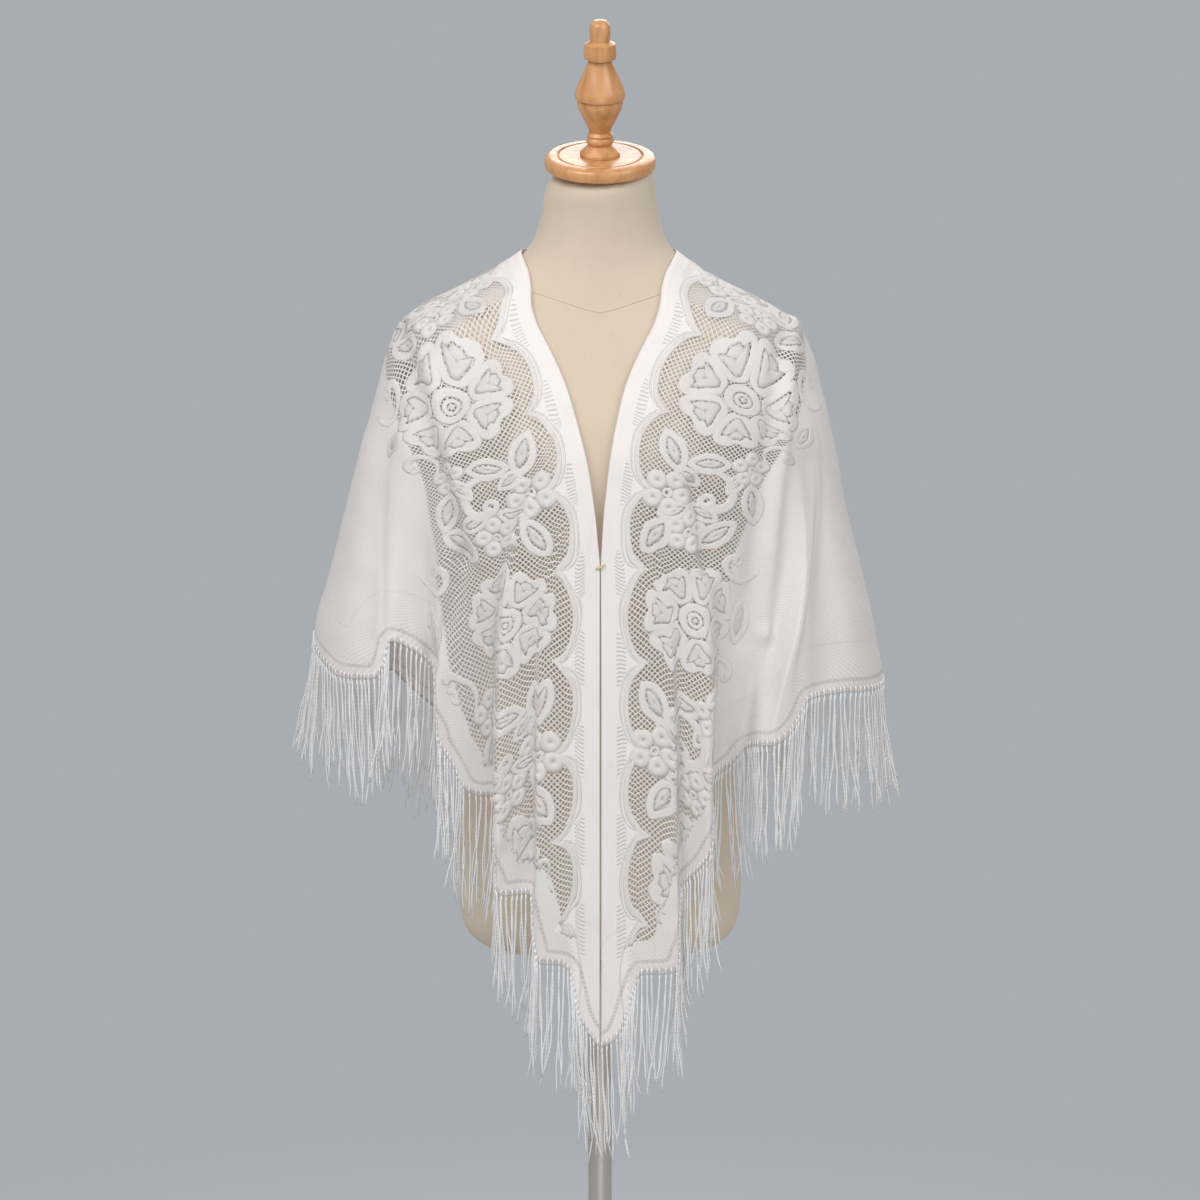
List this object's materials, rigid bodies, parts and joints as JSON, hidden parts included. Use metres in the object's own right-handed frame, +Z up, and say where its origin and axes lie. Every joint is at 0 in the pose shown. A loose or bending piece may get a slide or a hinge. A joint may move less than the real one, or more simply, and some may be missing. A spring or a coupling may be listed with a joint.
{
  "type": "lace shawl on a dress form",
  "caption": "Triangular lace shawl with a scalloped, fringed hem, worn open at the front over a limbless linen dress form with a wooden neck cap and finial on a steel pole and base",
  "frame": {"origin": "middle of the base plate's underside, on the floor", "axes": "+Z up, -Y is the front where the shawl opens, +X is the right side of the picture"},
  "size_m": [0.5866, 0.3057, 1.5296],
  "materials": {
    "linen": "matt",
    "wood": "satin varnish",
    "steel": "satin",
    "lace": "soft sheen",
    "thread": "matt"
  },
  "bodies": {
    "root": {"form_body": "linen", "neck_cap": "wood", "finial": "wood", "pole_flange": "steel", "pole": "steel", "base_hub": "steel", "base_plate": "steel", "shawl_left_front": "lace", "shawl_back": "lace", "shawl_right_front": "lace", "fringe_left_front": "lace", "fringe_back": "lace", "fringe_right_front": "lace", "front_tack": "thread"}
  },
  "joints": []
}
